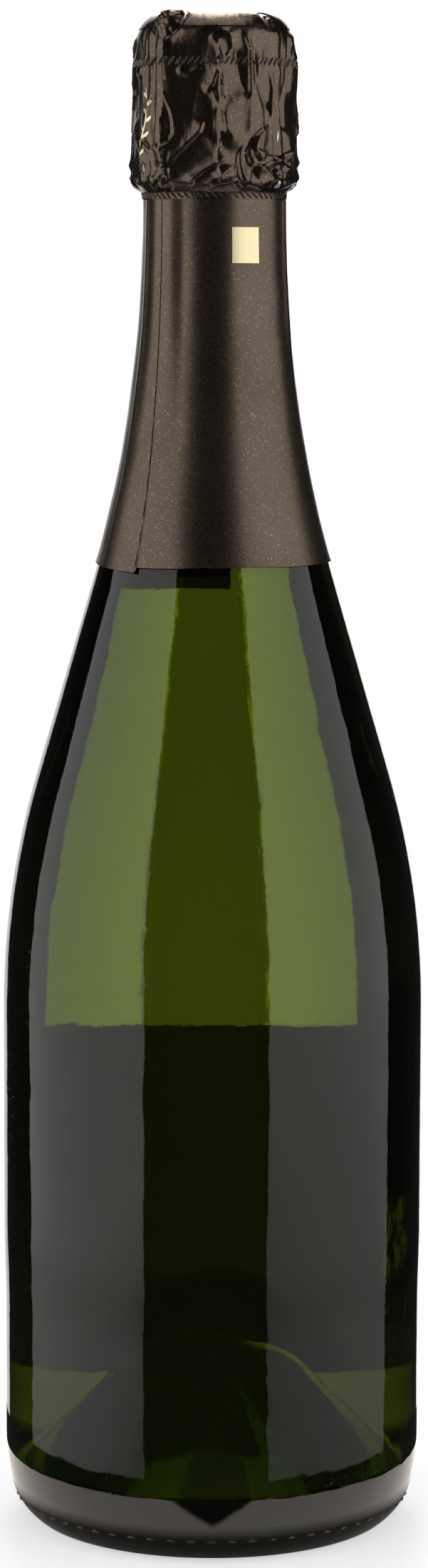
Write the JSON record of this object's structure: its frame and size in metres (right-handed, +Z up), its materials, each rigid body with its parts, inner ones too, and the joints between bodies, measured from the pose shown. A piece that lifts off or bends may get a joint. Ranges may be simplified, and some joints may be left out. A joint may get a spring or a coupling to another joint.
{
  "type": "sparkling wine bottle",
  "caption": "Full, dressed bottle of sparkling wine: punted green glass, wired mushroom cork, foil neck and head, blank paper labels.",
  "frame": {"origin": "on the bottle's axis, in the plane that it stands on", "axes": "+Z up along the bottle's axis; -Y towards the side that the picture shows, +X to its right"},
  "size_m": [0.0888, 0.0887, 0.3164],
  "materials": {
    "green_glass": "gloss",
    "wine": "gloss",
    "agglomerated_cork": "matte",
    "natural_cork": "matte",
    "plaque_metal": "satin",
    "cage_wire": "satin",
    "bronze_foil": "satin",
    "gold_leaf": "satin",
    "label_paper": "matte"
  },
  "bodies": {
    "bottle": {"glass_bottle": "green_glass", "wine": "wine", "foil_collar": "bronze_foil", "gold_patch": "gold_leaf", "front_label": "label_paper", "neck_label": "label_paper"},
    "stopper": {"cork_body": "agglomerated_cork", "cork_disc_upper": "natural_cork", "cork_disc_lower": "natural_cork"},
    "cage": {"cage_plaque": "plaque_metal", "cage_top_ring": "cage_wire", "cage_leg_1": "cage_wire", "cage_leg_2": "cage_wire", "cage_leg_3": "cage_wire", "cage_leg_4": "cage_wire", "cage_belt_wire": "cage_wire"},
    "pull_ring": {"cage_pull_ring": "cage_wire"},
    "hood": {"foil_tear_band": "bronze_foil", "foil_top_cap": "bronze_foil", "foil_top_disc": "bronze_foil"}
  },
  "joints": [
    {"name": "cork_pull", "type": "slide", "parent": "bottle", "child": "stopper", "axis": [0, 0, 1], "range_m": [0, 0.04]},
    {"name": "cage_lift", "type": "slide", "parent": "stopper", "child": "cage", "axis": [0, 0, 1], "range_m": [0, 0.04], "deforming": ["cage_belt_wire"]},
    {"name": "hood_lift", "type": "slide", "parent": "cage", "child": "hood", "axis": [0, 0, 1], "range_m": [0, 0.045], "deforming": ["foil_tear_band"]},
    {"name": "ring_unfold", "type": "hinge", "parent": "cage", "child": "pull_ring", "pos_m": [0.00602, -0.01491, 0.28275], "axis": [0.9272, 0.3746, 0], "range_deg": [0, 110]}
  ]
}
